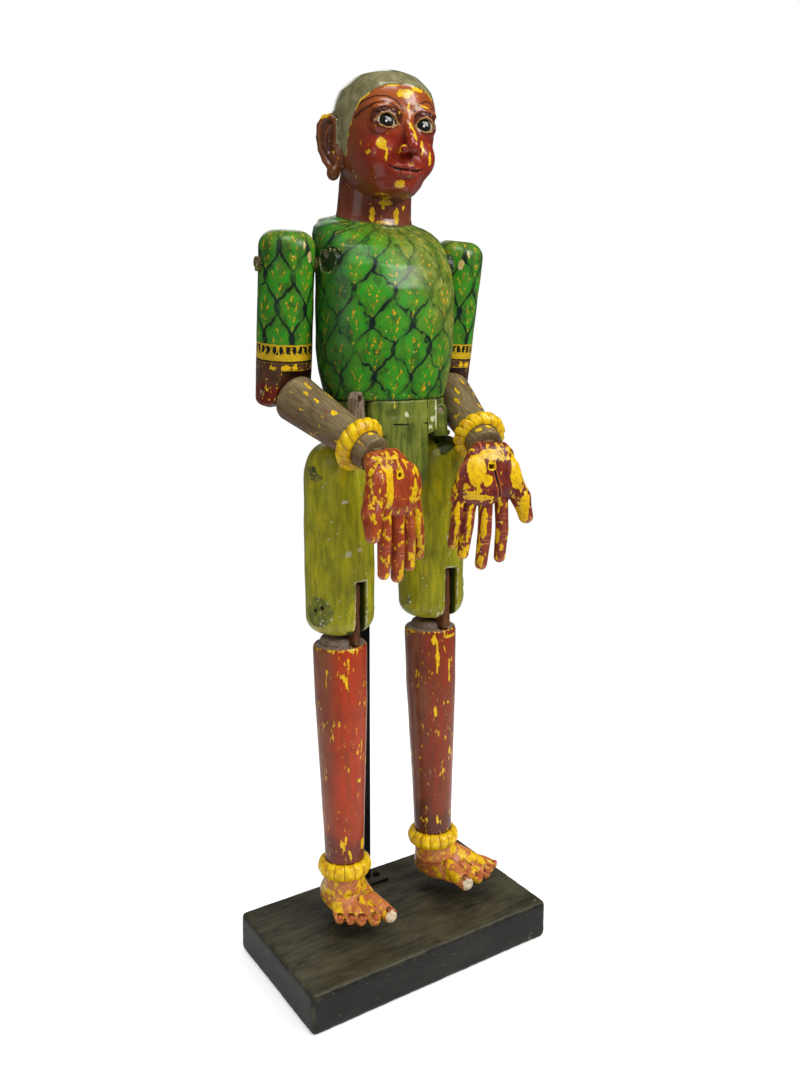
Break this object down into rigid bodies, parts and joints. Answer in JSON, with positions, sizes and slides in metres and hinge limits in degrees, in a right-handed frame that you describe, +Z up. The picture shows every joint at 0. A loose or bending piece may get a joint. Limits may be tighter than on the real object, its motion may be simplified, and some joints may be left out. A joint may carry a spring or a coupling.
{
  "type": "wooden puppet",
  "caption": "Carved and painted wooden figure with a turning head and waist and pinned arms and legs, held by a steel post on a black block.",
  "frame": {"origin": "centre of the underside of the black block", "axes": "+Z up, +X to the figure's left, the figure faces -Y"},
  "size_m": [0.378, 0.2476, 1.203],
  "materials": {
    "black_paint": "worn black-brown paint on wood",
    "black_steel": "blackened steel",
    "steel": "plain steel screws",
    "coat_green": "varnished green paint with a dark leaf lattice",
    "pelvis_green": "varnished dark green paint",
    "thigh_green": "streaked yellow-green paint with white worn spots",
    "skin_red": "glossy red-brown paint flaking to yellow",
    "forearm_brown": "worn brown and red paint",
    "hand_red": "orange-red paint flaking to yellow",
    "shin_red": "red paint with yellow chips",
    "foot_tan": "orange-brown paint flaking to yellow",
    "ring_yellow": "bright yellow paint with brown grooves",
    "raw_wood": "unpainted grey-tan wood"
  },
  "bodies": {
    "stand_and_pelvis": {"base_block": "black_paint", "post_foot_plate": "black_steel", "foot_plate_screw_right": "steel", "foot_plate_screw_left": "steel", "stand_post": "black_steel", "back_bracket": "black_steel", "bracket_screw_right": "steel", "bracket_screw_left": "steel", "pelvis_block": "pelvis_green", "waist_peg": "raw_wood", "hip_spread_pin_right": "raw_wood", "hip_spread_pin_left": "raw_wood"},
    "torso": {"torso": "coat_green", "torso_plug_right": "coat_green", "torso_plug_left": "coat_green", "shoulder_dowel_right": "raw_wood", "shoulder_dowel_left": "raw_wood"},
    "head": {"head": "skin_red", "neck_dowel": "raw_wood"},
    "arm_right": {"upper_arm_right": "coat_green", "elbow_pin_right": "raw_wood"},
    "arm_left": {"upper_arm_left": "coat_green", "elbow_pin_left": "raw_wood"},
    "forearm_right": {"forearm_right": "forearm_brown", "bracelet_right": "ring_yellow", "wrist_pin_right": "raw_wood"},
    "forearm_left": {"forearm_left": "forearm_brown", "bracelet_left": "ring_yellow", "wrist_pin_left": "raw_wood"},
    "hand_right": {"hand_right": "hand_red"},
    "hand_left": {"hand_left": "hand_red"},
    "hip_link_right": {"hip_link_right": "raw_wood"},
    "hip_link_left": {"hip_link_left": "raw_wood"},
    "thigh_right": {"thigh_right": "thigh_green", "hip_pin_right": "raw_wood", "knee_pin_right": "thigh_green"},
    "thigh_left": {"thigh_left": "thigh_green", "hip_pin_left": "raw_wood", "knee_pin_left": "thigh_green"},
    "shin_right": {"shin_right": "shin_red", "ankle_dowel_right": "raw_wood"},
    "shin_left": {"shin_left": "shin_red", "ankle_dowel_left": "raw_wood"},
    "foot_right": {"foot_right": "foot_tan", "anklet_right": "ring_yellow"},
    "foot_left": {"foot_left": "foot_tan", "anklet_left": "ring_yellow"}
  },
  "joints": [
    {"name": "waist_turn", "type": "hinge", "parent": "stand_and_pelvis", "child": "torso", "pos_m": [0, 0.02, 0.776], "axis": [0, 0, 1], "range_deg": [-4, 4]},
    {"name": "head_turn", "type": "hinge", "parent": "torso", "child": "head", "pos_m": [0, 0.05, 1.009], "axis": [0, -0.2607, 0.9654], "range_deg": [-25, 25]},
    {"name": "arm_swing_right", "type": "hinge", "parent": "torso", "child": "arm_right", "pos_m": [-0.1345, 0.046, 0.951], "axis": [-0.9781, 0.2079, 0], "range_deg": [0, 40]},
    {"name": "arm_swing_left", "type": "hinge", "parent": "torso", "child": "arm_left", "pos_m": [0.1345, 0.046, 0.951], "axis": [-0.9781, -0.2079, 0], "range_deg": [0, 40]},
    {"name": "elbow_right", "type": "hinge", "parent": "arm_right", "child": "forearm_right", "pos_m": [-0.12942, 0.06991, 0.78934], "axis": [-0.971, -0.2304, -0.0646], "range_deg": [-2, 8]},
    {"name": "elbow_left", "type": "hinge", "parent": "arm_left", "child": "forearm_left", "pos_m": [0.12942, 0.06991, 0.78934], "axis": [-0.971, 0.2304, 0.0646], "range_deg": [-2, 8]},
    {"name": "wrist_right", "type": "hinge", "parent": "forearm_right", "child": "hand_right", "pos_m": [-0.08273, -0.1042, 0.70865], "axis": [-0.971, -0.2304, -0.0646], "range_deg": [-8, 8]},
    {"name": "wrist_left", "type": "hinge", "parent": "forearm_left", "child": "hand_left", "pos_m": [0.08273, -0.1042, 0.70865], "axis": [-0.971, 0.2304, 0.0646], "range_deg": [-8, 8]},
    {"name": "hip_spread_right", "type": "hinge", "parent": "stand_and_pelvis", "child": "hip_link_right", "pos_m": [-0.0625, -0.0145, 0.759], "axis": [0, 1, 0], "range_deg": [0, 8]},
    {"name": "hip_spread_left", "type": "hinge", "parent": "stand_and_pelvis", "child": "hip_link_left", "pos_m": [0.0625, -0.0145, 0.759], "axis": [0, -1, 0], "range_deg": [0, 8]},
    {"name": "hip_swing_right", "type": "hinge", "parent": "hip_link_right", "child": "thigh_right", "pos_m": [-0.074, 0.02, 0.676], "axis": [-1, 0, 0], "range_deg": [-10, 12]},
    {"name": "hip_swing_left", "type": "hinge", "parent": "hip_link_left", "child": "thigh_left", "pos_m": [0.074, 0.02, 0.676], "axis": [-1, 0, 0], "range_deg": [-10, 12]},
    {"name": "knee_right", "type": "hinge", "parent": "thigh_right", "child": "shin_right", "pos_m": [-0.074, 0.022, 0.503], "axis": [1, 0, 0], "range_deg": [0, 12]},
    {"name": "knee_left", "type": "hinge", "parent": "thigh_left", "child": "shin_left", "pos_m": [0.074, 0.022, 0.503], "axis": [1, 0, 0], "range_deg": [0, 12]},
    {"name": "foot_turn_right", "type": "hinge", "parent": "shin_right", "child": "foot_right", "pos_m": [-0.074, 0.01147, 0.14816], "axis": [0, 0.0297, 0.9996], "range_deg": [-12, 12]},
    {"name": "foot_turn_left", "type": "hinge", "parent": "shin_left", "child": "foot_left", "pos_m": [0.074, 0.01147, 0.14816], "axis": [0, 0.0297, 0.9996], "range_deg": [-12, 12]}
  ]
}
